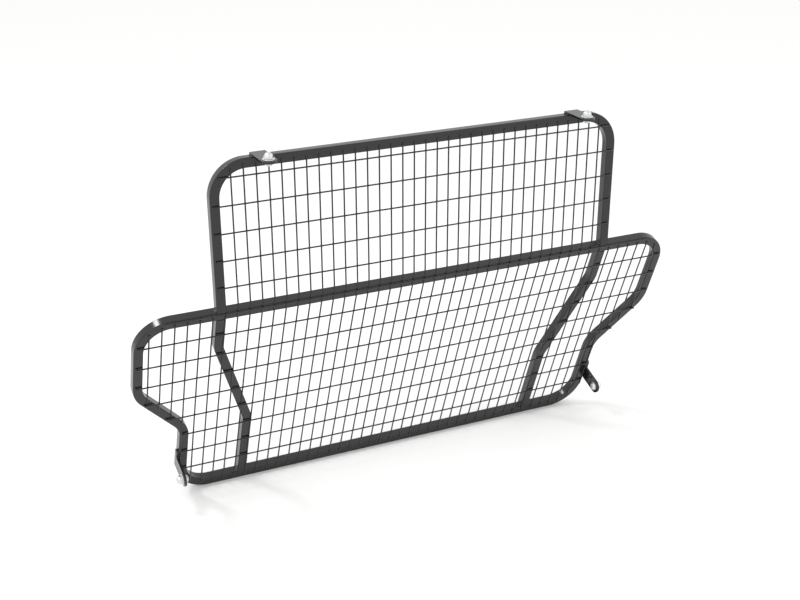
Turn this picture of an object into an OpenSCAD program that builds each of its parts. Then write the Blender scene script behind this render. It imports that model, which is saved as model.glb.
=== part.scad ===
// Vehicle cargo barrier: a welded square-tube frame that carries a folded
// wire mesh, hung from two roof straps and held by two floor brackets.
// Origin: midway between the two roof bolts, on the top face of the straps.
// +X is across the vehicle, -Y points at the cargo space, +Z is up.

/* [Frame tube] */
// Outside width of the square tube
tube = 20; // [16:1:25]
// Wall thickness of the tube
wall = 1.6; // [1.2:0.1:2.5]
// Centreline radius of every bend
bend_r = 65; // [50:1:80]
// Diameter of the drain holes under the bottom bar
drain_d = 6; // [4:0.5:8]
// Distance from the centre to each drain hole
drain_x = 300; // [100:10:400]

/* [Upper hoop] */
// Overall width of the hoop
hoop_w = 900; // [750:10:1000]
// Height from the top of the hoop to the fold of the frame
hoop_h = 300; // [220:5:420]

/* [Wing ring] */
// Overall width of the ring across the wings
ring_w = 1228; // [1150:2:1400]
// Overall width of the ring below the wings
ring_low_w = 1024; // [900:2:1070]
// Height of the ring, measured along its slope
ring_h = 520; // [480:5:640]
// Backward lean of the ring from upright
tilt = 21; // [10:1:30]
// Distance from the fold down to the top face of the ring
ring_drop = 3.6; // [3:0.2:6]
// Distance from the ring's top face to the shoulder of each wing
shoulder_drop = 196; // [180:2:220]
// Angle of the step under each wing
step_angle = 40; // [30:1:50]

/* [Stiffeners] */
// Overall width across the stiffeners at their feet
stiffener_low_w = 746; // [640:2:820]
// Distance from the ring's top face to the stiffener's upper knee
knee_1 = 98; // [80:1:120]
// Distance from the ring's top face to the stiffener's lower knee
knee_2 = 323; // [290:1:360]

/* [Wire mesh] */
// Wire diameter
wire_d = 3; // [2:0.1:4]
// Spacing of the upright wires
mesh_x = 25.4; // [20:0.2:40]
// Spacing of the cross wires
mesh_z = 54.8; // [40:0.2:80]
// Distance from the top of the hoop to the first cross wire
mesh_top = 32.6; // [28:0.2:50]
// Distance that the wires stop short of the frame's outer edge
mesh_inset = 1; // [0.5:0.5:4]

/* [Roof straps] */
// Spacing of the two roof bolts
roof_spacing = 692; // [580:2:720]
// Width of the roof straps
strap_w = 32; // [28:1:40]
// Thickness of the straps and brackets
strap_t = 5; // [4:0.5:8]
// Distance from the hoop's front face to the roof bolts
roof_reach = 45; // [38:1:70]
// Length of the roof strap that lies on the tube
roof_lap = 18; // [10:1:20]

/* [Floor brackets] */
// Distance from the ring's top face to the floor bolts
floor_drop = 422; // [410:1:430]
// Distance from the ring's front face to the floor bolts
floor_reach = 48; // [40:1:70]
// Width of the floor bracket's arm
arm_w = 32; // [28:1:36]
// Length of the floor bracket that lies on the tube's side
floor_lap = 12; // [10:1:20]
// Height of the foot's tip above the arm's centreline
foot_h = 36; // [28:1:60]

/* [Fasteners] */
// Thread diameter of the bolts
bolt_d = 10; // [8:1:12]
// Play of each bolt in its hole
hole_play = 0.6; // [0.4:0.1:1]
// Diameter of the bolt head's flange
head_flange_d = 20.6; // [18:0.2:25]
// Height of the bolt head
head_h = 8; // [5:0.1:9]
// Outside diameter of the washers
washer_d = 24; // [22:0.5:30]
// Thickness of the washers
washer_t = 2; // [1.6:0.1:3]
// Width across the flats of the cap nuts
nut_af = 17; // [15:0.5:19]
// Overall height of the cap nuts
nut_h = 12; // [11:0.5:16]

/* [Hidden] */

$fn = 48;
big = 3000;
weld_gap = 0.1;        // between welded wires and what they lie on
seat_gap = 0.1;        // between a strap, its washer and its nut
thread_gap = 0.05;     // radial play of the nut on the bolt
tube_mid = tube / 2;
outer_r = bend_r + tube_mid;
inner_r = bend_r - tube_mid;
bend_step = 5;         // turn between two points of a bend's outline

// Places in the vehicle frame
face_y = roof_reach;                       // front face of the hoop
hoop_top = -strap_t;                       // top face of the hoop
fold_z = hoop_top - hoop_h;                // where the two front faces meet
hoop_half = hoop_w / 2;
wing_half = ring_w / 2;
low_half = ring_low_w / 2;
stiffener_half = stiffener_low_w / 2;

// Outer edge of the step under a wing, measured down from the ring's top face
step_t = tan(step_angle / 2);
step_in = wing_half - low_half;
shoulder_edge = shoulder_drop + tube_mid * step_t;
step_edge = shoulder_edge + step_in / tan(step_angle);
shoulder_start = shoulder_edge - outer_r * step_t;
step_end = step_edge + inner_r * step_t;

// Mesh
upright_y = wire_d / 2 + weld_gap;                 // wire axis in front of the tube face
cross_y = upright_y + wire_d + weld_gap;
hoop_uprights = floor((hoop_half - tube) / mesh_x);       // on each side of the middle one
wing_uprights = floor((wing_half - tube) / mesh_x);
hoop_crosses = ceil((hoop_h - mesh_top) / mesh_z);
bar_u = ring_h - tube;                             // top edge of the bottom bar
first_low_u = mesh_top + hoop_crosses * mesh_z - hoop_h - ring_drop;
low_crosses = floor((bar_u - tube_mid - first_low_u) / mesh_z) + 1;

// Fasteners
head_cap_d = head_flange_d - 3;
head_rim_h = 2;
socket_af = 6;
socket_depth = 4;
bolt_hole_d = bolt_d + hole_play;
nut_hex_h = nut_h / 2;
nut_dome_base_r = nut_af / 2 - 0.2;
nut_dome_r = (pow(nut_dome_base_r, 2) + pow(nut_h - nut_hex_h, 2)) / (2 * (nut_h - nut_hex_h));
nut_bore_depth = nut_h - 4;
bolt_grip = strap_t + seat_gap + washer_t + seat_gap;
bolt_end = bolt_grip + nut_bore_depth - 0.8;

paint = [0.10, 0.10, 0.11];
wire_paint = [0.13, 0.13, 0.14];
zinc = [0.80, 0.81, 0.82];

// ---- Outline of the frame ------------------------------------------------

// Depth lost to a rounded corner at distance a inside its start
function arc_loss(r, a) = r - sqrt(max(0, r * r - a * a));

// Half width of the hoop at distance d below its top
function hoop_half_at(d) =
    hoop_half - (d < outer_r ? arc_loss(outer_r, outer_r - d) : 0);

// Distance of the hoop's top edge below its highest line, at x from the middle
function hoop_edge_at(x) =
    arc_loss(outer_r, max(0, abs(x) - (hoop_half - outer_r)));

// Half width of the ring at distance u below its top face
function ring_half_at(u) =
    u < outer_r ? wing_half - arc_loss(outer_r, outer_r - u) :
    u < shoulder_start ? wing_half :
    u < shoulder_start + outer_r * sin(step_angle) ?
        wing_half - arc_loss(outer_r, u - shoulder_start) :
    u < step_end - inner_r * sin(step_angle) ?
        wing_half - (u - shoulder_edge) * tan(step_angle) :
    u < step_end ? low_half + arc_loss(inner_r, step_end - u) :
    u < ring_h - outer_r ? low_half :
        low_half - arc_loss(outer_r, u - (ring_h - outer_r));

// Top edge of the ring at x from the middle
function ring_top_at(x) = arc_loss(outer_r, max(0, abs(x) - (wing_half - outer_r)));

// Bottom edge of the ring at x from the middle
function ring_bottom_at(x) =
    abs(x) <= low_half ?
        ring_h - arc_loss(outer_r, max(0, abs(x) - (low_half - outer_r))) :
    abs(x) < low_half + arc_loss(inner_r, inner_r * sin(step_angle)) ?
        step_end - sqrt(pow(inner_r, 2) - pow(low_half + inner_r - abs(x), 2)) :
    abs(x) < wing_half - arc_loss(outer_r, outer_r * sin(step_angle)) ?
        shoulder_edge + (wing_half - abs(x)) / tan(step_angle) :
        shoulder_start + sqrt(pow(outer_r, 2) - pow(abs(x) - (wing_half - outer_r), 2));

// ---- Bent tubes, from the corners of their centrelines -------------------

function unit(v) = v / norm(v);

// Bend at corner b between a and c, for a line at distance d left of the centreline
function bend_line(a, b, c, d) =
    let (u = unit(b - a), v = unit(c - b), n = [-u[1], u[0]],
         turn = atan2(cross(u, v), u * v), side = sign(turn),
         mid = b - u * bend_r * tan(abs(turn) / 2) + n * side * bend_r,
         radius = side * bend_r - d, count = ceil(abs(turn) / bend_step))
    [for (k = [0:count]) let (w = turn * k / count)
        mid - radius * [n[0] * cos(w) - n[1] * sin(w), n[0] * sin(w) + n[1] * cos(w)]];

// Line at distance d left of a centreline that closes on itself
function closed_line(corners, d) =
    let (count = len(corners))
    [for (i = [0:count - 1])
        each bend_line(corners[(i + count - 1) % count], corners[i],
                       corners[(i + 1) % count], d)];

// The same for a centreline with two ends, run past them by extra
function open_line(corners, d, extra) =
    let (last = len(corners) - 1,
         u = unit(corners[1] - corners[0]), v = unit(corners[last] - corners[last - 1]))
    [corners[0] - u * extra + [-u[1], u[0]] * d,
     for (i = [1:last - 1]) each bend_line(corners[i - 1], corners[i], corners[i + 1], d),
     corners[last] + v * extra + [-v[1], v[0]] * d];

function backwards(line) = [for (i = [len(line) - 1:-1:0]) line[i]];

// Stands a flat outline up in the XZ plane, between two depths behind its face
module upright_plate(front, back) {
    translate([0, back, 0]) rotate([90, 0, 0]) linear_extrude(back - front) children();
}

// Tube with two open ends, its front face at y = 0
module open_tube(corners) {
    difference() {
        upright_plate(0, tube) open_outline(corners, tube_mid, 0);
        upright_plate(wall, tube - wall) open_outline(corners, tube_mid - wall, 1);
    }
}

module open_outline(corners, half, extra) {
    polygon(concat(open_line(corners, half, extra),
                   backwards(open_line(corners, -half, extra))));
}

// Tube that closes on itself, its front face at y = 0
module closed_tube(corners) {
    difference() {
        upright_plate(0, tube) closed_outline(corners, tube_mid);
        upright_plate(wall, tube - wall) closed_outline(corners, tube_mid - wall);
    }
}

module closed_outline(corners, half) {
    difference() {
        polygon(closed_line(corners, -half));
        polygon(closed_line(corners, half));
    }
}

// ---- Frames of reference -------------------------------------------------

// Origin on the fold line, at the front face of the hoop
module at_fold() {
    translate([0, face_y, fold_z]) children();
}

// Origin on the front edge of the ring's top face, -Z down the slope
module at_ring() {
    at_fold() rotate([tilt, 0, 0]) translate([0, 0, -ring_drop]) children();
}

// Everything below the plane z = 0
module below() {
    translate([-big / 2, -big / 2, -big]) cube(big);
}

module above() {
    translate([-big / 2, -big / 2, 0]) cube(big);
}

// Draws its children, or their mirror image for the right side
module on_side(side) {
    if (side > 0) mirror([1, 0, 0]) children();
    else children();
}

// ---- Frame ---------------------------------------------------------------

module upper_hoop_tube() {
    axis_x = hoop_half - tube_mid;
    leg_end = -hoop_h - ring_drop - tube;
    color(paint) difference() {
        translate([0, face_y, hoop_top])
            open_tube([[-axis_x, leg_end], [-axis_x, -tube_mid],
                       [axis_x, -tube_mid], [axis_x, leg_end]]);
        at_ring() below();
    }
}

module wing_ring_tube() {
    wing_x = wing_half - tube_mid;
    low_x = low_half - tube_mid;
    low_shoulder = -shoulder_drop - step_in / tan(step_angle);
    bar_z = tube_mid - ring_h;
    color(paint) at_ring() difference() {
        closed_tube([[-wing_x, -tube_mid], [-wing_x, -shoulder_drop],
                     [-low_x, low_shoulder], [-low_x, bar_z],
                     [low_x, bar_z], [low_x, low_shoulder],
                     [wing_x, -shoulder_drop], [wing_x, -tube_mid]]);
        for (x = [-drain_x, drain_x])
            translate([x, tube_mid, -ring_h - 1]) cylinder(d = drain_d, h = wall + 2);
    }
}

module stiffener_tube(side) {
    top_x = tube_mid - hoop_half;
    foot_x = tube_mid - stiffener_half;
    color(paint) at_ring() on_side(side)
        open_tube([[top_x, -tube], [top_x, -knee_1], [foot_x, -knee_2],
                   [foot_x, tube - ring_h]]);
}

module left_stiffener_tube() { stiffener_tube(-1); }
module right_stiffener_tube() { stiffener_tube(1); }

// ---- Folded wire mesh ----------------------------------------------------

// Upright wire from height low to height high, at x
module upright(x, low, high) {
    translate([x, -upright_y, low]) cylinder(d = wire_d, h = high - low, $fn = 24);
}

// Cross wire that reaches half to each side, at height z
module cross_wire(half, z) {
    translate([-half, -cross_y, z]) rotate([0, 90, 0])
        cylinder(d = wire_d, h = 2 * half, $fn = 24);
}

module upper_upright_wires() {
    color(wire_paint) at_fold() difference() {
        for (k = [-hoop_uprights:hoop_uprights])
            upright(k * mesh_x, -wire_d, hoop_h - hoop_edge_at(k * mesh_x) - mesh_inset);
        rotate([tilt / 2, 0, 0]) below();
    }
}

module lower_upright_wires() {
    color(wire_paint) {
        at_fold() difference() {
            rotate([tilt, 0, 0])
                for (k = [-hoop_uprights:hoop_uprights])
                    upright(k * mesh_x,
                            mesh_inset - ring_drop - ring_bottom_at(k * mesh_x), wire_d);
            rotate([tilt / 2, 0, 0]) above();
        }
        at_ring() for (side = [-1, 1], k = [hoop_uprights + 1:wing_uprights])
            upright(side * k * mesh_x, mesh_inset - ring_bottom_at(k * mesh_x),
                    -mesh_inset - ring_top_at(k * mesh_x));
    }
}

module upper_cross_wires() {
    color(wire_paint) at_fold() for (j = [0:hoop_crosses - 1])
        let (d = mesh_top + j * mesh_z)
            cross_wire(hoop_half_at(d) - mesh_inset, hoop_h - d);
}

module lower_cross_wires() {
    color(wire_paint) at_ring() for (j = [0:low_crosses - 1])
        let (u = first_low_u + j * mesh_z)
            cross_wire(ring_half_at(u) - mesh_inset, -u);
}

// ---- Straps and brackets -------------------------------------------------

// Flat bar with one round end, hole at the origin, square end at distance back
module strap_shape(width, back) {
    difference() {
        union() {
            circle(d = width);
            translate([-width / 2, 0]) square([width, back]);
        }
        circle(d = bolt_hole_d);
    }
}

module roof_strap(side) {
    color(paint) translate([side * roof_spacing / 2, 0, -strap_t])
        linear_extrude(strap_t) strap_shape(strap_w, roof_reach + roof_lap);
}

module left_roof_strap() { roof_strap(-1); }
module right_roof_strap() { roof_strap(1); }

// Side view of a floor bracket, hole at the origin: the arm runs back onto the
// tube's outer side, and a round-tipped foot climbs it
module floor_bracket_shape() {
    tip_r = floor_lap / 2;
    difference() {
        union() {
            circle(d = arm_w);
            translate([0, -arm_w / 2]) square([floor_reach + floor_lap, arm_w]);
            translate([floor_reach, 0]) square([floor_lap, foot_h - tip_r]);
            translate([floor_reach + tip_r, foot_h - tip_r]) circle(tip_r);
        }
        circle(d = bolt_hole_d);
    }
}

// Origin on the bolt axis, at the inner face of a left floor bracket, with
// +Z pointing out to the left
module at_floor_bolt(side) {
    at_ring() on_side(side) translate([-low_half, -floor_reach, -floor_drop])
        rotate([0, -90, 0]) children();
}

module floor_bracket(side) {
    color(paint) at_ring() on_side(side)
        translate([-low_half, -floor_reach, -floor_drop]) mirror([1, 0, 0])
        rotate([90, 0, 90]) linear_extrude(strap_t) floor_bracket_shape();
}

module left_floor_bracket() { floor_bracket(-1); }
module right_floor_bracket() { floor_bracket(1); }

// ---- Fasteners, drawn with the strap's under face at z = 0 ---------------

module at_roof_bolt(side) {
    translate([side * roof_spacing / 2, 0, -strap_t]) children();
}

module bolt() {
    cap_h = head_h - head_rim_h;
    cap_r = (pow(head_cap_d / 2, 2) + pow(cap_h, 2)) / (2 * cap_h);
    color(zinc) difference() {
        union() {
            cylinder(d = bolt_d, h = bolt_end);
            translate([0, 0, -head_rim_h]) cylinder(d = head_flange_d, h = head_rim_h);
            intersection() {
                translate([0, 0, cap_r - head_h]) sphere(cap_r);
                translate([0, 0, -head_h - 1]) cylinder(d = head_flange_d, h = head_h + 1 - head_rim_h);
            }
        }
        translate([0, 0, -head_h - 1])
            cylinder(d = socket_af / cos(30), h = socket_depth + 1, $fn = 6);
    }
}

module washer() {
    color(zinc) translate([0, 0, strap_t + seat_gap]) difference() {
        cylinder(d = washer_d, h = washer_t);
        translate([0, 0, -1]) cylinder(d = bolt_hole_d, h = washer_t + 2);
    }
}

module cap_nut() {
    color(zinc) translate([0, 0, bolt_grip]) difference() {
        union() {
            cylinder(d = nut_af / cos(30), h = nut_hex_h, $fn = 6);
            intersection() {
                translate([0, 0, nut_h - nut_dome_r]) sphere(nut_dome_r);
                translate([0, 0, nut_hex_h]) cylinder(d = nut_af, h = nut_h);
            }
        }
        translate([0, 0, -1]) cylinder(d = bolt_d + 2 * thread_gap, h = nut_bore_depth + 1);
    }
}

module left_roof_bolt() { at_roof_bolt(-1) bolt(); }
module right_roof_bolt() { at_roof_bolt(1) bolt(); }
module left_floor_bolt() { at_floor_bolt(-1) bolt(); }
module right_floor_bolt() { at_floor_bolt(1) bolt(); }
module left_roof_washer() { at_roof_bolt(-1) washer(); }
module right_roof_washer() { at_roof_bolt(1) washer(); }
module left_floor_washer() { at_floor_bolt(-1) washer(); }
module right_floor_washer() { at_floor_bolt(1) washer(); }
module left_roof_nut() { at_roof_bolt(-1) cap_nut(); }
module right_roof_nut() { at_roof_bolt(1) cap_nut(); }
module left_floor_nut() { at_floor_bolt(-1) cap_nut(); }
module right_floor_nut() { at_floor_bolt(1) cap_nut(); }

upper_hoop_tube();
wing_ring_tube();
left_stiffener_tube();
right_stiffener_tube();
upper_upright_wires();
lower_upright_wires();
upper_cross_wires();
lower_cross_wires();
left_roof_strap();
right_roof_strap();
left_floor_bracket();
right_floor_bracket();
left_roof_bolt();
right_roof_bolt();
left_floor_bolt();
right_floor_bolt();
left_roof_washer();
right_roof_washer();
left_floor_washer();
right_floor_washer();
left_roof_nut();
right_roof_nut();
left_floor_nut();
right_floor_nut();
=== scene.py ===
import math

import bmesh
import bpy
from mathutils import Matrix, Vector


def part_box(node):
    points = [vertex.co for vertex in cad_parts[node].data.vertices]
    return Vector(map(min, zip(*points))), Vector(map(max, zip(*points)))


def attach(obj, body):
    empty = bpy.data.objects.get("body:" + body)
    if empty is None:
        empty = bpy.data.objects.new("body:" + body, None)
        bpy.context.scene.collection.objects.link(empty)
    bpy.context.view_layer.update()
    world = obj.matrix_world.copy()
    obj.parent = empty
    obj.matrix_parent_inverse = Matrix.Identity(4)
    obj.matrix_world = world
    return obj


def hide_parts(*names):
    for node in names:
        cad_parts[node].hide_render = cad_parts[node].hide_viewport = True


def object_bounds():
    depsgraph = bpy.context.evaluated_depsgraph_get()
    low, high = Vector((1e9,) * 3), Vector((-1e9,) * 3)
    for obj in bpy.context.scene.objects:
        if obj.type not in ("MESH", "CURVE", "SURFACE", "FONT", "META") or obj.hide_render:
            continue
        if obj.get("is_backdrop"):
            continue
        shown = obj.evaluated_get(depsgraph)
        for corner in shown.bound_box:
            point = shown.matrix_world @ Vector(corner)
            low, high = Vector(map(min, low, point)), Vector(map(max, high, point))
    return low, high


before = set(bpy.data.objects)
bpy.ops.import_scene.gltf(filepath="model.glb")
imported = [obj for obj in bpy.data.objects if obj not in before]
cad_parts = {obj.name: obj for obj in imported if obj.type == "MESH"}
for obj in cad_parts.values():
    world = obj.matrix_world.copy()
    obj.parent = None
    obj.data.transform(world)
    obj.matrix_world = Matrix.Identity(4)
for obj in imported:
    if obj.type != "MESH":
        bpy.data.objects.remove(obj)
cad_low, cad_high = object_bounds()


# ---- Camera --------------------------------------------------------------
# A standing person's view from the front left, looking down on the barrier.
# The lens is a long normal one, so the hoop and the ring keep their shapes.

lens = bpy.data.cameras.new("camera")
lens.lens = 59.49
lens.sensor_width = 36
lens.shift_x = -0.00875
lens.shift_y = 0.07179
lens.clip_end = 100
camera = bpy.data.objects.new("camera", lens)
camera.location = (-1.1343, -2.2400, 0.7101)
camera.rotation_euler = (math.radians(90 - 25.250), 0, math.radians(-25.561))
bpy.context.collection.objects.link(camera)
bpy.context.scene.camera = camera


# ---- Studio --------------------------------------------------------------
# A matt off-white painted floor in a white room, with a large soft light on
# the left, a weaker one on the right and a small one behind for the upper
# edges. The barrier stands on the floor.

FLOOR_PAINT = "fbfbfa"
ROOM_PAINT = "ffffff"
FLOOR_SIZE = 60
EDGE_LIFT = 0.0008      # the bottom bar's rounded edge ends this far above its sharp CAD one


def linear(shade):
    """Linear colour of an sRGB hex value."""
    parts = [int(shade[i:i + 2], 16) / 255 for i in (0, 2, 4)]
    return [p / 12.92 if p <= 0.04045 else ((p + 0.055) / 1.055) ** 2.4 for p in parts] + [1]


def add_node(material, kind, settings, sockets):
    """Node with its settings, and its sockets set to values or linked to other nodes."""
    node = material.node_tree.nodes.new(kind)
    for name, value in settings.items():
        setattr(node, name, value)
    for name, value in sockets.items():
        if isinstance(value, bpy.types.NodeSocket):
            material.node_tree.links.new(value, node.inputs[name])
        else:
            node.inputs[name].default_value = value
    return node


# Matt floor paint: rolled on, so its sheen is even but for a faint mottle
floor_paint = bpy.data.materials.new("matt_floor_paint")
floor_paint.use_nodes = True
floor_paint_shader = floor_paint.node_tree.nodes["Principled BSDF"]
floor_paint_shader.inputs["Base Color"].default_value = linear(FLOOR_PAINT)
place = add_node(floor_paint, "ShaderNodeTexCoord", {}, {})
mottle = add_node(floor_paint, "ShaderNodeTexNoise", {},
                  {"Vector": place.outputs["Object"], "Scale": 3.0, "Detail": 2.0})
dull = add_node(floor_paint, "ShaderNodeMapRange", {},
                {"Value": mottle.outputs["Fac"], "To Min": 0.85, "To Max": 0.95})
floor_paint.node_tree.links.new(dull.outputs["Result"], floor_paint_shader.inputs["Roughness"])

floor_mesh = bmesh.new()
bmesh.ops.create_grid(floor_mesh, x_segments=1, y_segments=1, size=FLOOR_SIZE / 2,
                      matrix=Matrix.Translation((0, 0, cad_low.z + EDGE_LIFT)))
floor = bpy.data.objects.new("floor", bpy.data.meshes.new("floor"))
floor_mesh.to_mesh(floor.data)
floor_mesh.free()
floor.data.materials.append(floor_paint)
bpy.context.collection.objects.link(floor)
floor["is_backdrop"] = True

room = bpy.data.worlds.new("white_room")
room.use_nodes = True
room.node_tree.nodes["Background"].inputs["Color"].default_value = linear(ROOM_PAINT)
room.node_tree.nodes["Background"].inputs["Strength"].default_value = 1.0
bpy.context.scene.world = room
bpy.context.scene.view_settings.view_transform = "Standard"

middle = (cad_low + cad_high) / 2
for name, spot, watts, width in (("left_softbox", (-2.6, -1.2, 2.4), 26, 2.6),
                                 ("right_softbox", (2.8, -2.2, 1.9), 12, 2.2),
                                 ("rim_softbox", (-1.45, 1.25, 2.0), 16, 0.45)):
    softbox = bpy.data.lights.new(name, "AREA")
    softbox.shape = "SQUARE"
    softbox.size = width
    softbox.energy = watts
    lamp = bpy.data.objects.new(name, softbox)
    lamp.location = spot
    lamp.rotation_euler = (Vector(spot) - middle).to_track_quat("Z", "Y").to_euler()
    bpy.context.collection.objects.link(lamp)


# ---- Upper hoop tube -----------------------------------------------------
# One length of 20 mm square steel tube with 1.6 mm walls, bent at two corners.
# Its two legs are cut on the slope of the ring's top face and welded down on
# it, and the whole frame is then powder coated black.

TUBE = 0.020
TUBE_CORNER = 0.0024
BEND_RADIUS = 0.065
BEND_STEPS = 18
CORNER_STEPS = 5
MERGE = 1e-6            # points closer than this are one
TILT = math.radians(21)
RING_DROP = 0.0036
HOOP_H = 0.300
COAT_DARK = "151516"
COAT_LIGHT = "1a1a1b"
PEEL_WIDTH = 0.003
CLOUD_WIDTH = 0.09
PEEL_HEIGHT = 0.00006
MIX_COLOURS = (6, 7)    # the two colour inputs of a Mix node


def rounded_square(bm, side, corner, place):
    """Face of the tube's outline, its corners rounded, in the XY plane of place."""
    turned = place @ Matrix.Rotation(math.radians(45), 4, "Z")
    square = bmesh.ops.create_circle(bm, cap_ends=True, segments=4,
                                     radius=side / math.sqrt(2), matrix=turned)
    bmesh.ops.bevel(bm, geom=square["verts"], offset=corner, offset_type="OFFSET",
                    segments=CORNER_STEPS, profile=0.5, affect="VERTICES", material=-1)
    return list(bm.verts) + list(bm.edges) + list(bm.faces)


def only(kind, parts):
    return [part for part in parts if isinstance(part, kind)]


def draw_out(bm, section, step):
    """Straight length: the section is extruded by step. Gives the new section."""
    if step.length < MERGE / 10:
        return section
    made = bmesh.ops.extrude_face_region(bm, geom=section)["geom"]
    bmesh.ops.translate(bm, vec=step, verts=only(bmesh.types.BMVert, made))
    return made


def bend_through(bm, section, corners, radius, steps, closed=False):
    """Runs a section along the line through these corners, with a bend at each."""
    count = len(corners)
    at = (corners[-1] + corners[0]) / 2 if closed else corners[0]
    begin = at
    for i in range(count) if closed else range(1, count - 1):
        corner = corners[i]
        before = (corner - corners[i - 1]).normalized()
        after = (corners[(i + 1) % count] - corner).normalized()
        turn = before.angle(after)
        axis = before.cross(after).normalized()
        reach = radius * math.tan(turn / 2)
        enter = corner - before * reach
        section = draw_out(bm, section, enter - at)
        section = bmesh.ops.spin(bm, geom=section, cent=enter + axis.cross(before) * radius,
                                 axis=axis, angle=turn, steps=steps)["geom_last"]
        at = corner + after * reach
    return draw_out(bm, section, (begin if closed else corners[-1]) - at)


def tube_shell(corners, side, corner_r, closed=False):
    """Closed shell of a bent square tube whose centreline lies in an XZ plane."""
    bm = bmesh.new()
    begin = (corners[-1] + corners[0]) / 2 if closed else corners[0]
    run = (corners[0] - begin if closed else corners[1] - begin).normalized()
    across = Vector((run.z, 0, -run.x))
    place = Matrix((across, (0, 1, 0), run)).transposed().to_4x4()
    section = rounded_square(bm, side, corner_r, Matrix.Translation(begin) @ place)
    if closed:
        bmesh.ops.delete(bm, geom=only(bmesh.types.BMFace, section), context="FACES_ONLY")
        section = list(bm.verts) + list(bm.edges)
    bend_through(bm, section, corners, BEND_RADIUS, BEND_STEPS, closed)
    bmesh.ops.remove_doubles(bm, verts=bm.verts, dist=MERGE)
    bmesh.ops.recalc_face_normals(bm, faces=bm.faces)
    return bm


def make_piece(name, bm, material, sharp=35):
    """Object at the origin from a finished bmesh, smooth but for its sharp edges."""
    mesh = bpy.data.meshes.new(name)
    bm.to_mesh(mesh)
    bm.free()
    mesh.polygons.foreach_set("use_smooth", [True] * len(mesh.polygons))
    mesh.set_sharp_from_angle(angle=math.radians(sharp))
    mesh.materials.append(material)
    piece = bpy.data.objects.new(name, mesh)
    bpy.context.collection.objects.link(piece)
    return piece


def keep_flats_flat(piece):
    """Normals weighted by area, so that a flat face beside a rounded edge looks flat."""
    flats = piece.modifiers.new("flat_faces", "WEIGHTED_NORMAL")
    flats.mode = "FACE_AREA"
    flats.keep_sharp = True


# Semi-gloss black powder coat, baked on: the melted powder leaves a fine orange
# peel, drawn 3 mm across so that it shows, which softens what the coat mirrors
def powder_coat(name, peel_height):
    """Material for one kind of steel, whose peel stands peel_height proud."""
    coat = bpy.data.materials.new(name)
    coat.use_nodes = True
    shader = coat.node_tree.nodes["Principled BSDF"]
    shader.inputs["IOR"].default_value = 1.52
    place = add_node(coat, "ShaderNodeTexCoord", {}, {})
    peel = add_node(coat, "ShaderNodeTexNoise", {},
                    {"Vector": place.outputs["Object"], "Scale": 1 / PEEL_WIDTH, "Detail": 1.5})
    cloud = add_node(coat, "ShaderNodeTexNoise", {},
                     {"Vector": place.outputs["Object"], "Scale": 1 / CLOUD_WIDTH, "Detail": 3.0})
    dull = add_node(coat, "ShaderNodeMapRange", {},
                    {"Value": cloud.outputs["Fac"], "From Min": 0.3, "From Max": 0.7,
                     "To Min": 0.14, "To Max": 0.22})
    shade = add_node(coat, "ShaderNodeMix", {"data_type": "RGBA"},
                     {"Factor": cloud.outputs["Fac"], MIX_COLOURS[0]: linear(COAT_DARK),
                      MIX_COLOURS[1]: linear(COAT_LIGHT)})
    bump = add_node(coat, "ShaderNodeBump", {},
                    {"Height": peel.outputs["Fac"], "Distance": peel_height, "Strength": 0.6})
    links = coat.node_tree.links
    links.new(shade.outputs[2], shader.inputs["Base Color"])
    links.new(dull.outputs["Result"], shader.inputs["Roughness"])
    links.new(bump.outputs["Normal"], shader.inputs["Normal"])
    return coat


tube_coat = powder_coat("semi_gloss_black_powder_coat_on_tube", PEEL_HEIGHT)

hoop_low, hoop_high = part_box("upper_hoop_tube")
at_fold = Matrix.Translation((0, hoop_low.y, hoop_high.z - HOOP_H))
at_ring = at_fold @ Matrix.Rotation(TILT, 4, "X") @ Matrix.Translation((0, 0, -RING_DROP))

hoop_x = hoop_high.x - TUBE / 2
hoop_y = hoop_low.y + TUBE / 2
hoop_z = hoop_high.z - TUBE / 2
leg_end = hoop_low.z - TUBE
hoop = tube_shell([Vector((-hoop_x, hoop_y, leg_end)), Vector((-hoop_x, hoop_y, hoop_z)),
                   Vector((hoop_x, hoop_y, hoop_z)), Vector((hoop_x, hoop_y, leg_end))],
                  TUBE, TUBE_CORNER)
ring_top = at_ring.to_3x3() @ Vector((0, 0, 1))
bmesh.ops.bisect_plane(hoop, geom=hoop.verts[:] + hoop.edges[:] + hoop.faces[:],
                       plane_co=at_ring.translation, plane_no=ring_top, clear_inner=True)
bmesh.ops.holes_fill(hoop, edges=[e for e in hoop.edges if e.is_boundary], sides=0)
hoop_piece = make_piece("upper_hoop", hoop, tube_coat)
keep_flats_flat(hoop_piece)
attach(hoop_piece, "frame")
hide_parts("upper_hoop_tube")


# ---- Wing ring -----------------------------------------------------------
# The same tube bent at eight corners into a closed ring that follows the
# vehicle's side trim: wide at the wings, stepped in below them. Two 6 mm holes
# under the bottom bar let the wash water out before coating.

RING_H = 0.520
WALL = 0.0016
LOW_HALF = 0.512
SHOULDER = 0.196
STEP_ANGLE = math.radians(40)
DRAIN_D = 0.006
DRAIN_X = 0.300

ring_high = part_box("wing_ring_tube")[1]
wing_x = ring_high.x - TUBE / 2
low_x = LOW_HALF - TUBE / 2
low_shoulder = -SHOULDER - (wing_x - low_x) / math.tan(STEP_ANGLE)
bar_z = TUBE / 2 - RING_H
half_ring = [(-wing_x, -TUBE / 2), (-wing_x, -SHOULDER),
             (-low_x, low_shoulder), (-low_x, bar_z)]
ring_line = half_ring + [(-x, z) for x, z in reversed(half_ring)]
ring_corners = [Vector((x, TUBE / 2, z)) for x, z in ring_line]


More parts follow.
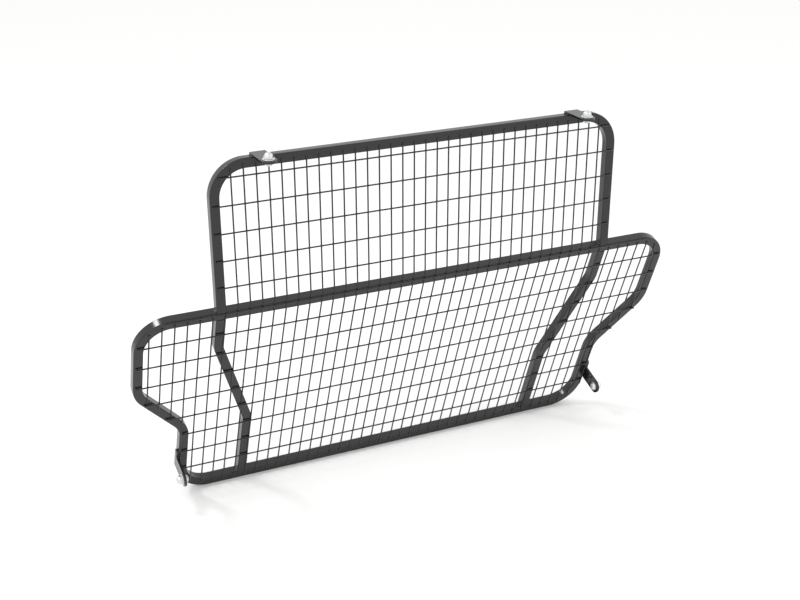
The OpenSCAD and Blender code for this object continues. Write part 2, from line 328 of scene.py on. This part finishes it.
def cut(bm, tool, operation="DIFFERENCE"):
    """The first closed bmesh cut by, or kept only inside, the second."""
    meshes = []
    for part in (bm, tool):
        mesh = bpy.data.meshes.new("blank")
        part.to_mesh(mesh)
        part.free()
        meshes.append(mesh)
    blank, cutter = [bpy.data.objects.new("blank", mesh) for mesh in meshes]
    for part in (blank, cutter):
        bpy.context.collection.objects.link(part)
    change = blank.modifiers.new("cut", "BOOLEAN")
    change.object = cutter
    change.operation = operation
    change.solver = "EXACT"
    result = bmesh.new()
    result.from_object(blank, bpy.context.evaluated_depsgraph_get())
    for part in (blank, cutter):
        bpy.data.objects.remove(part)
    for mesh in meshes:
        bpy.data.meshes.remove(mesh)
    return result


def add_shell(bm, shell, flip=False):
    """Adds one bmesh to another, turned inside out if it lines a hollow."""
    if flip:
        bmesh.ops.reverse_faces(shell, faces=shell.faces)
    mesh = bpy.data.meshes.new("shell")
    shell.to_mesh(mesh)
    shell.free()
    bm.from_mesh(mesh)
    bpy.data.meshes.remove(mesh)


ring = tube_shell(ring_corners, TUBE, TUBE_CORNER, closed=True)
ring_hollow = tube_shell(ring_corners, TUBE - 2 * WALL, TUBE_CORNER - WALL, closed=True)
add_shell(ring, ring_hollow, flip=True)
drains = bmesh.new()
for x in (-DRAIN_X, DRAIN_X):
    bmesh.ops.create_cone(drains, cap_ends=True, segments=32, radius1=DRAIN_D / 2,
                          radius2=DRAIN_D / 2, depth=4 * WALL,
                          matrix=Matrix.Translation((x, TUBE / 2, -RING_H)))
ring = cut(ring, drains)
bmesh.ops.transform(ring, matrix=at_ring, verts=ring.verts)
ring_piece = make_piece("wing_ring", ring, tube_coat)
keep_flats_flat(ring_piece)
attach(ring_piece, "frame")
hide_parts("wing_ring_tube")


# ---- Stiffener tubes -----------------------------------------------------
# Two lengths of the same tube that carry the hoop's legs down to the bottom
# bar, set inwards by two shallow bends, and welded between the ring's bars.

STIFFENER_HALF = 0.373
KNEE_HIGH = 0.098
KNEE_LOW = 0.323

for side, name in ((-1, "left_stiffener"), (1, "right_stiffener")):
    top_x = side * hoop_x
    foot_x = side * (STIFFENER_HALF - TUBE / 2)
    line = [(top_x, -TUBE), (top_x, -KNEE_HIGH), (foot_x, -KNEE_LOW), (foot_x, TUBE - RING_H)]
    stiffener = tube_shell([Vector((x, TUBE / 2, z)) for x, z in line], TUBE, TUBE_CORNER)
    bmesh.ops.transform(stiffener, matrix=at_ring, verts=stiffener.verts)
    stiffener_piece = make_piece(name, stiffener, tube_coat)
    keep_flats_flat(stiffener_piece)
    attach(stiffener_piece, "frame")
    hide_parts(name + "_tube")


# ---- Upright wires -------------------------------------------------------
# 3 mm drawn steel wires at a 25.4 mm pitch, pressed a little way into the front
# of the tubes as they are welded. Those between the hoop's legs are single
# wires, folded by 21 degrees where the frame folds; the wings have straight ones.

WIRE = 0.003
COAT_BUILD = 0.0001
WIRE_PITCH = 0.0254
WIRE_FOLD_RADIUS = 0.006
WIRE_EDGE = 0.0005
WIRE_SIDES = 12
WIRE_FOLD_STEPS = 4
WIRE_PEEL = 0.00003
OUTER_WIRE = 23         # the middle wire is 0, and each wing's last one this
UPRIGHT_OUT = 0.0004    # a wire's centre, in front of the tubes' front faces
UPRIGHT_SHY = 0.009     # how far each end is drawn in from the CAD wire's end

wire_coat = powder_coat("semi_gloss_black_powder_coat_on_wire", WIRE_PEEL)
slope_down = at_ring.to_3x3() @ Vector((0, 0, -1))
slope_out = at_ring.to_3x3() @ Vector((0, -1, 0))
sideways = Vector((1, 0, 0))
upwards = Vector((0, 0, 1))
forwards = Vector((0, -1, 0))
fold = at_fold.translation


def lay_wire(bm, points):
    """Round wire through these points, its cut ends softened by the coat."""
    wire = bmesh.new()
    run = (points[1] - points[0]).normalized()
    place = Matrix.Translation(points[0]) @ run.to_track_quat("Z", "Y").to_matrix().to_4x4()
    bmesh.ops.create_circle(wire, cap_ends=True, segments=WIRE_SIDES,
                            radius=WIRE / 2 + COAT_BUILD, matrix=place)
    section = wire.verts[:] + wire.edges[:] + wire.faces[:]
    bend_through(wire, section, points, WIRE_FOLD_RADIUS, WIRE_FOLD_STEPS)
    ends = [f for f in wire.faces if len(f.verts) == WIRE_SIDES]
    bmesh.ops.bevel(wire, geom=[e for f in ends for e in f.edges], offset=WIRE_EDGE,
                    offset_type="OFFSET", segments=2, profile=0.5, affect="EDGES", material=-1)
    bmesh.ops.recalc_face_normals(wire, faces=wire.faces)
    add_shell(bm, wire)


def reach_of(node, line, across, at, shy):
    """Ends along line of the CAD wire that lies at across = at, each drawn in by shy."""
    found = [v.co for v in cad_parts[node].data.vertices
             if abs((v.co - fold).dot(across) - at) < WIRE]
    places = [(c - fold).dot(line) for c in found]
    return (min(places) + shy, max(places) - shy) if places else None


uprights = bmesh.new()
upright_reaches = {}
for k in range(-OUTER_WIRE, OUTER_WIRE + 1):
    x = k * WIRE_PITCH
    lower = reach_of("lower_upright_wires", slope_down, sideways, x, UPRIGHT_SHY)
    foot = fold + sideways * x + slope_down * lower[1] + slope_out * UPRIGHT_OUT
    upper = reach_of("upper_upright_wires", upwards, sideways, x, UPRIGHT_SHY)
    if upper:
        head = fold + sideways * x + upwards * upper[1] + forwards * UPRIGHT_OUT
        knee = fold + Vector((x, -UPRIGHT_OUT, -UPRIGHT_OUT * math.tan(TILT / 2)))
        lay_wire(uprights, [head, knee, foot])
    else:
        head = fold + sideways * x + slope_down * lower[0] + slope_out * UPRIGHT_OUT
        lay_wire(uprights, [head, foot])
    upright_reaches[k] = (upper[1] if upper else None, lower)
upright_piece = make_piece("upright_wires", uprights, wire_coat)
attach(upright_piece, "frame")
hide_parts("upper_upright_wires", "lower_upright_wires")


# ---- Cross wires ---------------------------------------------------------
# The same wire, laid across the uprights at a 54.8 mm pitch and resistance
# welded, which sets each one a little way into the wires behind it.

CROSS_PITCH = 0.0548
CROSS_TOP = 0.0326
CROSS_OUT = 0.0029      # a cross wire's centre, in front of the tubes' front faces
CROSS_SHY = 0.004       # how far each end is drawn in from the CAD wire's end
CROSSES_HIGH = 5
CROSSES_LOW = 9

crosses = bmesh.new()
cross_reaches = []
for j in range(CROSSES_HIGH + CROSSES_LOW):
    drop = CROSS_TOP + j * CROSS_PITCH - HOOP_H
    high = j < CROSSES_HIGH
    node = "upper_cross_wires" if high else "lower_cross_wires"
    down = -upwards if high else slope_down
    out = forwards if high else slope_out
    reach = reach_of(node, sideways, down, drop, CROSS_SHY)
    level = fold + down * drop + out * CROSS_OUT
    lay_wire(crosses, [level + sideways * reach[0], level + sideways * reach[1]])
    cross_reaches.append((down, out, drop, reach))
cross_piece = make_piece("cross_wires", crosses, wire_coat)
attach(cross_piece, "frame")
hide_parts("upper_cross_wires", "lower_cross_wires")


# ---- Mesh welds ----------------------------------------------------------
# Resistance welding squeezes a little steel out at every crossing, and a tack
# holds each wire's end on the tube behind it. The coat runs over both.

NUGGET = 0.0019         # radius of the metal squeezed out at a crossing
NUGGET_OUT = 0.0016     # its centre, in front of the tubes' front faces
NUGGET_FLATNESS = 0.5
TACK = 0.0019           # radius of the tack at a wire's end
TACK_IN = 0.003
TACK_OUT = -0.0002
ALL_SMOOTH = 180

nuggets = bmesh.new()


def set_nugget(centre, out, radius):
    """Flattened blob of weld metal, lying on a face that looks along out."""
    turn = out.to_track_quat("Z", "Y").to_matrix().to_4x4()
    flat = Matrix.Diagonal((1, 1, NUGGET_FLATNESS, 1))
    bmesh.ops.create_icosphere(nuggets, subdivisions=1, radius=radius,
                               matrix=Matrix.Translation(centre) @ turn @ flat)


for down, out, drop, reach in cross_reaches:
    level = fold + down * drop
    for k in range(-OUTER_WIRE, OUTER_WIRE + 1):
        x = k * WIRE_PITCH
        if reach[0] < x < reach[1]:
            set_nugget(level + sideways * x + out * NUGGET_OUT, out, NUGGET)
    for end in (reach[0] + TACK_IN, reach[1] - TACK_IN):
        set_nugget(level + sideways * end + out * TACK_OUT, out, TACK)
for k, (top, lower) in upright_reaches.items():
    side = fold + sideways * k * WIRE_PITCH
    set_nugget(side + slope_down * (lower[1] - TACK_IN), slope_out, TACK)
    if top is None:
        set_nugget(side + slope_down * (lower[0] + TACK_IN), slope_out, TACK)
    else:
        set_nugget(side + upwards * (top - TACK_IN), forwards, TACK)
nugget_piece = make_piece("mesh_welds", nuggets, wire_coat, sharp=ALL_SMOOTH)
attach(nugget_piece, "frame")


# ---- Roof straps ---------------------------------------------------------
# Two 32 mm flat steel bars, 5 mm thick, with one rounded end drilled for the
# roof bolt. The square end is welded on top of the hoop.

STRAP = 0.005
STRAP_W = 0.032
BOLT_HOLE = 0.0106
PLATE_EDGE = 0.0006
PLATE_STEPS = 14
HOLE_SIDES = 48
HAIR = 1e-5             # straight left between two roundings, so that they don't meet

plate_coat = powder_coat("semi_gloss_black_powder_coat_on_plate", PEEL_HEIGHT)


def plate(outline, radii, thickness):
    """Flat plate in the XY plane with a radius at each corner, drilled at the origin."""
    bm = bmesh.new()
    corners = [bm.verts.new((x, y, 0)) for x, y in outline]
    bm.faces.new(corners)
    for corner, radius in zip(corners, radii):
        if radius:
            bmesh.ops.bevel(bm, geom=[corner], offset=radius, offset_type="OFFSET",
                            segments=PLATE_STEPS, profile=0.5, affect="VERTICES", material=-1)
    bmesh.ops.remove_doubles(bm, verts=bm.verts, dist=MERGE)
    section = bm.verts[:] + bm.edges[:] + bm.faces[:]
    draw_out(bm, section, Vector((0, 0, thickness)))
    bmesh.ops.recalc_face_normals(bm, faces=bm.faces)
    drill = bmesh.new()
    bmesh.ops.create_cone(drill, cap_ends=True, segments=HOLE_SIDES, radius1=BOLT_HOLE / 2,
                          radius2=BOLT_HOLE / 2, depth=4 * thickness)
    return cut(bm, drill)


def soften_edges(piece, width):
    """The edges that shearing and coating leave, rounded all round."""
    edges = piece.modifiers.new("soft_edges", "BEVEL")
    edges.width = width
    edges.segments = 3
    edges.limit_method = "ANGLE"
    edges.angle_limit = math.radians(40)
    edges.harden_normals = True


for side in ("left", "right"):
    strap_low, strap_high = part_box(side + "_roof_strap")
    half = STRAP_W / 2
    back = strap_high.y
    strap = plate([(-half, -half), (half, -half), (half, back), (-half, back)],
                  [half - HAIR, half - HAIR, 0, 0], STRAP)
    bmesh.ops.translate(strap, verts=strap.verts,
                        vec=((strap_low.x + strap_high.x) / 2, 0, strap_low.z))
    strap_piece = make_piece(side + "_strap", strap, plate_coat)
    soften_edges(strap_piece, PLATE_EDGE)
    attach(strap_piece, "frame")
    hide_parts(side + "_roof_strap")


# ---- Floor brackets ------------------------------------------------------
# Two L-shaped plates cut from the same 5 mm steel. The arm comes forward to the
# floor bolt, and the foot climbs the ring's outer side, where it is welded.

FLOOR_REACH = 0.048
FLOOR_LAP = 0.012
FLOOR_DROP = 0.422
FOOT_H = 0.036
HEEL_RADIUS = 0.002
CROOK_RADIUS = 0.003

for side, name in ((-1, "left"), (1, "right")):
    half = STRAP_W / 2
    back = FLOOR_REACH + FLOOR_LAP
    tip = FLOOR_LAP / 2 - HAIR
    bracket = plate([(-half, -half), (back, -half), (back, FOOT_H), (FLOOR_REACH, FOOT_H),
                     (FLOOR_REACH, half), (-half, half)],
                    [half - HAIR, HEEL_RADIUS, tip, tip, CROOK_RADIUS, half - HAIR], STRAP)
    # The outline's X runs back along the ring's depth, and its Y up the slope
    stand = Matrix(((0, 0, side, 0), (1, 0, 0, 0), (0, 1, 0, 0), (0, 0, 0, 1)))
    seat = Matrix.Translation((side * LOW_HALF, -FLOOR_REACH, -FLOOR_DROP))
    bmesh.ops.transform(bracket, matrix=at_ring @ seat @ stand, verts=bracket.verts)
    bmesh.ops.recalc_face_normals(bracket, faces=bracket.faces)
    bracket_piece = make_piece(name + "_bracket", bracket, plate_coat)
    soften_edges(bracket_piece, PLATE_EDGE)
    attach(bracket_piece, "frame")
    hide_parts(name + "_floor_bracket")


# ---- Weld beads ----------------------------------------------------------
# Arc-weld beads round the tube ends, the straps and the brackets, laid in
# short overlapping ripples about 1.2 mm apart and coated with the frame.

BEAD = 0.0011           # radius of a bead
BEAD_SIDES = 8
BEAD_STOP = 0.0015      # a bead ends this far short of the front
RIPPLE = 0.0012
RIPPLE_DIP = 0.84       # size of a bead between two ripples

beads = bmesh.new()


def lay_bead(points, out, closed):
    """Rippled bead through these points, on a face that looks along out."""
    bead = bmesh.new()
    stops = points + points[:1] if closed else points
    stations = []
    for a, b in zip(stops, stops[1:]):
        count = max(2, 2 * round((b - a).length / RIPPLE / 2))
        stations += [(a.lerp(b, i / count), (b - a).normalized()) for i in range(count)]
    if not closed:
        stations.append((points[-1], (points[-1] - points[-2]).normalized()))
    places = []
    for i, (at, run) in enumerate(stations):
        size = 1 if i % 2 == 0 else RIPPLE_DIP
        turn = Matrix((run.cross(out), out, run)).transposed().to_4x4()
        places.append(Matrix.Translation(at) @ turn @ Matrix.Scale(size, 4))
    bmesh.ops.create_circle(bead, cap_ends=not closed, segments=BEAD_SIDES, radius=BEAD,
                            matrix=places[0])
    section = bead.verts[:] + bead.edges[:] + bead.faces[:]
    for before, after in zip(places, places[1:] + (places[:1] if closed else [])):
        section = bmesh.ops.extrude_face_region(bead, geom=section)["geom"]
        bmesh.ops.transform(bead, matrix=after @ before.inverted(),
                            verts=only(bmesh.types.BMVert, section))
    bmesh.ops.remove_doubles(bead, verts=bead.verts, dist=MERGE)
    bmesh.ops.recalc_face_normals(bead, faces=bead.faces)
    add_shell(beads, bead)


def bead_round_tube(centre_x, z, slope):
    """Bead down both sides and along the back of a square tube's end at height z."""
    half = TUBE / 2
    near = TUBE_CORNER
    path = [(-half, near), (-half, TUBE - near), (half, TUBE - near), (half, near)]
    lay_bead([at_ring @ Vector((centre_x + x, y, z)) for x, y in path], slope, False)


for side in (-1, 1):
    bead_round_tube(side * hoop_x, 0.0, ring_top)
    bead_round_tube(side * hoop_x, -TUBE, ring_top)
    bead_round_tube(side * (STIFFENER_HALF - TUBE / 2), TUBE - RING_H, ring_top)
for name in ("left", "right"):
    strap_low, strap_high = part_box(name + "_roof_strap")
    front = hoop_low.y + BEAD_STOP
    edge = [(strap_low.x, front), (strap_low.x, strap_high.y), (strap_high.x, strap_high.y),
            (strap_high.x, front)]
    lay_bead([Vector((x, y, strap_low.z)) for x, y in edge], Vector((0, 0, 1)), False)
for side in (-1, 1):
    neck = FOOT_H - FLOOR_LAP / 2
    foot = [(BEAD_STOP, neck), (FLOOR_LAP / 2, FOOT_H), (FLOOR_LAP, neck),
            (FLOOR_LAP, -STRAP_W / 2), (BEAD_STOP, -STRAP_W / 2)]
    lay_bead([at_ring @ Vector((side * LOW_HALF, y, z - FLOOR_DROP)) for y, z in foot],
             Vector((side, 0, 0)), False)
bead_piece = make_piece("weld_beads", beads, tube_coat, sharp=ALL_SMOOTH)
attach(bead_piece, "frame")


# ---- Bolts ---------------------------------------------------------------
# Four M10 flanged button-head bolts with a 6 mm hex socket and a rolled 1.5 mm
# thread, bright zinc plated. Each is put through its strap from below, or
# through its bracket from the inner side.

BOLT = 0.010
THREAD_PITCH = 0.0015
THREAD_DEPTH = 0.00075
HEAD_FLANGE = 0.0206
HEAD_RIM = 0.002
HEAD_H = 0.008
SOCKET = 0.006
SOCKET_DEPTH = 0.004
PLAY = 0.0001
WASHER_T = 0.002
BOLT_TIP = 0.0144       # the bolt's end, above the seat of its flange
CAP_SETBACK = 0.0015    # the domed cap ends this far inside the flange's rim
RIM_EDGE = 0.0003
NECK_SINK = 0.001       # the shank starts to taper this far inside the hole
THREAD_SINK = 0.0002    # the taper ends, and the thread starts, this far inside it
THREAD_STOP = 0.0012    # left off the length in which whole turns are counted
THREAD_ROOT = 0.0003    # the thread's root lies this far inside the core
TIP_CHAMFER = 0.0008
THREAD_STEPS = 24
CREST_SHY = 0.00002     # the crest stays this far inside the nominal diameter
OVERCUT = 0.001         # cutters and joined shapes run this far past the face they meet
ZINC = "dfe1e3"
ZINC_BLUE = "d6d9dc"
HAZE_WIDTH = 0.004
GRAIN_HEIGHT = 0.00002


# Bright zinc plating: electroplated over turned steel, so it shines softly under
# a haze, with a faint blue cast that comes and goes over a few millimetres
zinc = bpy.data.materials.new("bright_zinc_plating")
zinc.use_nodes = True
zinc_shader = zinc.node_tree.nodes["Principled BSDF"]
zinc_shader.inputs["Metallic"].default_value = 1.0
place = add_node(zinc, "ShaderNodeTexCoord", {}, {})
haze = add_node(zinc, "ShaderNodeTexNoise", {},
                {"Vector": place.outputs["Object"], "Scale": 1 / HAZE_WIDTH, "Detail": 3.0})
dull = add_node(zinc, "ShaderNodeMapRange", {},
                {"Value": haze.outputs["Fac"], "From Min": 0.3, "From Max": 0.7,
                 "To Min": 0.26, "To Max": 0.40})
cast = add_node(zinc, "ShaderNodeMix", {"data_type": "RGBA"},
                {"Factor": haze.outputs["Fac"], MIX_COLOURS[0]: linear(ZINC_BLUE),
                 MIX_COLOURS[1]: linear(ZINC)})
grain = add_node(zinc, "ShaderNodeBump", {},
                 {"Height": haze.outputs["Fac"], "Distance": GRAIN_HEIGHT, "Strength": 0.4})
zinc.node_tree.links.new(cast.outputs[2], zinc_shader.inputs["Base Color"])
zinc.node_tree.links.new(dull.outputs["Result"], zinc_shader.inputs["Roughness"])
zinc.node_tree.links.new(grain.outputs["Normal"], zinc_shader.inputs["Normal"])


def turned(outline, segments=48):
    """Solid turned about Z from its half outline, from its lowest to its highest point."""
    bm = bmesh.new()
    line = [bm.verts.new((r, 0, z)) for r, z in outline]
    edges = [bm.edges.new(pair) for pair in zip(line, line[1:])]
    bmesh.ops.spin(bm, geom=line + edges, cent=(0, 0, 0), axis=(0, 0, 1),
                   angle=math.tau, steps=segments, use_merge=True)
    bmesh.ops.remove_doubles(bm, verts=bm.verts, dist=MERGE)
    bmesh.ops.recalc_face_normals(bm, faces=bm.faces)
    return bm


def hexagon(flats, low, high):
    """Hexagonal bar from height low to height high, a corner on +X."""
    bm = bmesh.new()
    bmesh.ops.create_cone(bm, cap_ends=True, segments=6, radius1=flats / math.sqrt(3),
                          radius2=flats / math.sqrt(3), depth=high - low,
                          matrix=Matrix.Translation((0, 0, (low + high) / 2))
                          @ Matrix.Rotation(math.radians(30), 4, "Z"))
    return bm


def bolt_mesh(tip):
    """Bolt with its flange on z = 0, ending at height tip."""
    core = BOLT / 2 - THREAD_DEPTH
    cap_r = HEAD_FLANGE / 2 - CAP_SETBACK
    rise = HEAD_H - HEAD_RIM
    ball = (cap_r ** 2 + rise ** 2) / (2 * rise)
    top = math.asin(cap_r / ball)
    cap = [(ball * math.sin(top * i / 10), ball - HEAD_H - ball * math.cos(top * i / 10))
           for i in range(11)]
    rim = HEAD_FLANGE / 2
    start = STRAP - THREAD_SINK
    head = turned(cap + [(rim - RIM_EDGE, -HEAD_RIM), (rim, -HEAD_RIM + RIM_EDGE),
                         (rim, -RIM_EDGE), (rim - RIM_EDGE, 0), (BOLT / 2, 0),
                         (BOLT / 2, STRAP - NECK_SINK), (core, start),
                         (core, tip - TIP_CHAMFER), (core - TIP_CHAMFER, tip), (0, tip)])
    head = cut(head, hexagon(SOCKET, -HEAD_H - OVERCUT, SOCKET_DEPTH - HEAD_H))
    ridge = bmesh.new()
    crest = BOLT / 2 - CREST_SHY
    root = core - THREAD_ROOT
    turns = int((tip - STRAP - THREAD_STOP) / THREAD_PITCH)
    shape = [(root, start), (core, start), (crest, start + THREAD_PITCH * 0.45),
             (crest, start + THREAD_PITCH * 0.55), (core, start + THREAD_PITCH * 0.97),
             (root, start + THREAD_PITCH * 0.97)]
    ridge.faces.new([ridge.verts.new((r, 0, z)) for r, z in shape])
    bmesh.ops.spin(ridge, geom=ridge.verts[:] + ridge.edges[:] + ridge.faces[:],
                   cent=(0, 0, 0), axis=(0, 0, 1), dvec=(0, 0, THREAD_PITCH / THREAD_STEPS),
                   angle=math.tau * turns, steps=THREAD_STEPS * turns)
    bmesh.ops.recalc_face_normals(ridge, faces=ridge.faces)
    add_shell(head, ridge)
    return head


# Each fastener's place: where its bolt's flange seats, with Z along the bolt
fastener_places = {}
upright = Matrix.Identity(4)
leaning = Matrix.Rotation(TILT, 4, "X")
quarter = math.pi / 2
for name, aim in (("left_roof", upright), ("right_roof", upright),
                  ("left_floor", leaning @ Matrix.Rotation(-quarter, 4, "Y")),
                  ("right_floor", leaning @ Matrix.Rotation(quarter, 4, "Y"))):
    low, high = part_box(name + "_washer")
    below = -(STRAP + PLAY + WASHER_T / 2)
    fastener_places[name] = (Matrix.Translation((low + high) / 2) @ aim
                             @ Matrix.Translation((0, 0, below)))

for name, place in fastener_places.items():
    bolt = bolt_mesh(BOLT_TIP)
    bmesh.ops.transform(bolt, matrix=place, verts=bolt.verts)
    bolt_piece = make_piece(name + "_flanged_bolt", bolt, zinc, sharp=28)
    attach(bolt_piece, "frame")
    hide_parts(name + "_bolt")


# ---- Washers -------------------------------------------------------------
# Punched 24 mm steel washers, 2 mm thick, tumbled so that their edges are
# soft, and plated like the bolts. Each lies between its strap and its nut.

WASHER = 0.024
WASHER_EDGE = 0.0004

for name, place in fastener_places.items():
    inner, outer, soft = BOLT_HOLE / 2, WASHER / 2, WASHER_EDGE
    base = STRAP + PLAY
    worn = soft * 0.3
    ring_section = [(inner + soft, base), (outer - soft, base), (outer - worn, base + worn),
                    (outer, base + soft), (outer, base + WASHER_T - soft),
                    (outer - worn, base + WASHER_T - worn),
                    (outer - soft, base + WASHER_T), (inner + soft, base + WASHER_T),
                    (inner, base + WASHER_T - soft), (inner, base + soft), (inner + soft, base)]
    washer = turned(ring_section, 64)
    bmesh.ops.transform(washer, matrix=place, verts=washer.verts)
    washer_piece = make_piece(name + "_flat_washer", washer, zinc, sharp=50)
    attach(washer_piece, name + "_washer")
    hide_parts(name + "_washer")


# ---- Cap nuts ------------------------------------------------------------
# Domed M10 cap nuts, 17 mm across the flats, machined from hexagon bar: the
# corners are chamfered below and above, and the dome covers the bolt's end.

NUT = 0.017
NUT_H = 0.012
NUT_HEX_H = 0.006
NUT_BORE = 0.00505      # radius, just clear of the bolt
NUT_BORE_DEPTH = 0.008
NUT_CHAMFER = 0.0009
NUT_MOUTH = 0.0006
NUT_EDGE = 0.0002
DOME_SETBACK = 0.0002   # the dome starts this far inside the flats
FACE_SETBACK = 0.0001   # and the chamfers this far
CORNER_CLEAR = 0.0002   # the chamfering tool clears the corners by this much

for name, place in fastener_places.items():
    base = STRAP + 2 * PLAY + WASHER_T
    corner = NUT / math.sqrt(3)
    flat = NUT / 2
    face_r = flat - FACE_SETBACK
    outer = corner + CORNER_CLEAR
    chamfer = turned([(0, 0), (face_r, 0), (outer, NUT_CHAMFER),
                      (outer, NUT_HEX_H - NUT_CHAMFER), (face_r, NUT_HEX_H),
                      (0, NUT_HEX_H)])
    nut = cut(hexagon(NUT, 0, NUT_HEX_H), chamfer, "INTERSECT")
    dome_r = flat - DOME_SETBACK
    rise = NUT_H - NUT_HEX_H
    ball = (dome_r ** 2 + rise ** 2) / (2 * rise)
    top = math.asin(dome_r / ball)
    dome = [(ball * math.sin(top * i / 14), NUT_H - ball + ball * math.cos(top * i / 14))
            for i in range(15)]
    dome_foot = NUT_HEX_H - OVERCUT
    nut = cut(nut, turned([(0, dome_foot), (dome_r, dome_foot)] + dome[::-1]), "UNION")
    mouth = NUT_BORE + NUT_MOUTH
    nut = cut(nut, turned([(0, -OVERCUT), (mouth, -OVERCUT), (mouth, 0), (NUT_BORE, NUT_MOUTH),
                           (NUT_BORE, NUT_BORE_DEPTH), (0, NUT_BORE_DEPTH)]))
    bmesh.ops.transform(nut, matrix=place @ Matrix.Translation((0, 0, base)), verts=nut.verts)
    nut_piece = make_piece(name + "_cap_nut", nut, zinc, sharp=28)
    soften_edges(nut_piece, NUT_EDGE)
    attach(nut_piece, name + "_nut")
    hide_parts(name + "_nut")


bpy.context.view_layer.update()
low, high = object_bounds()
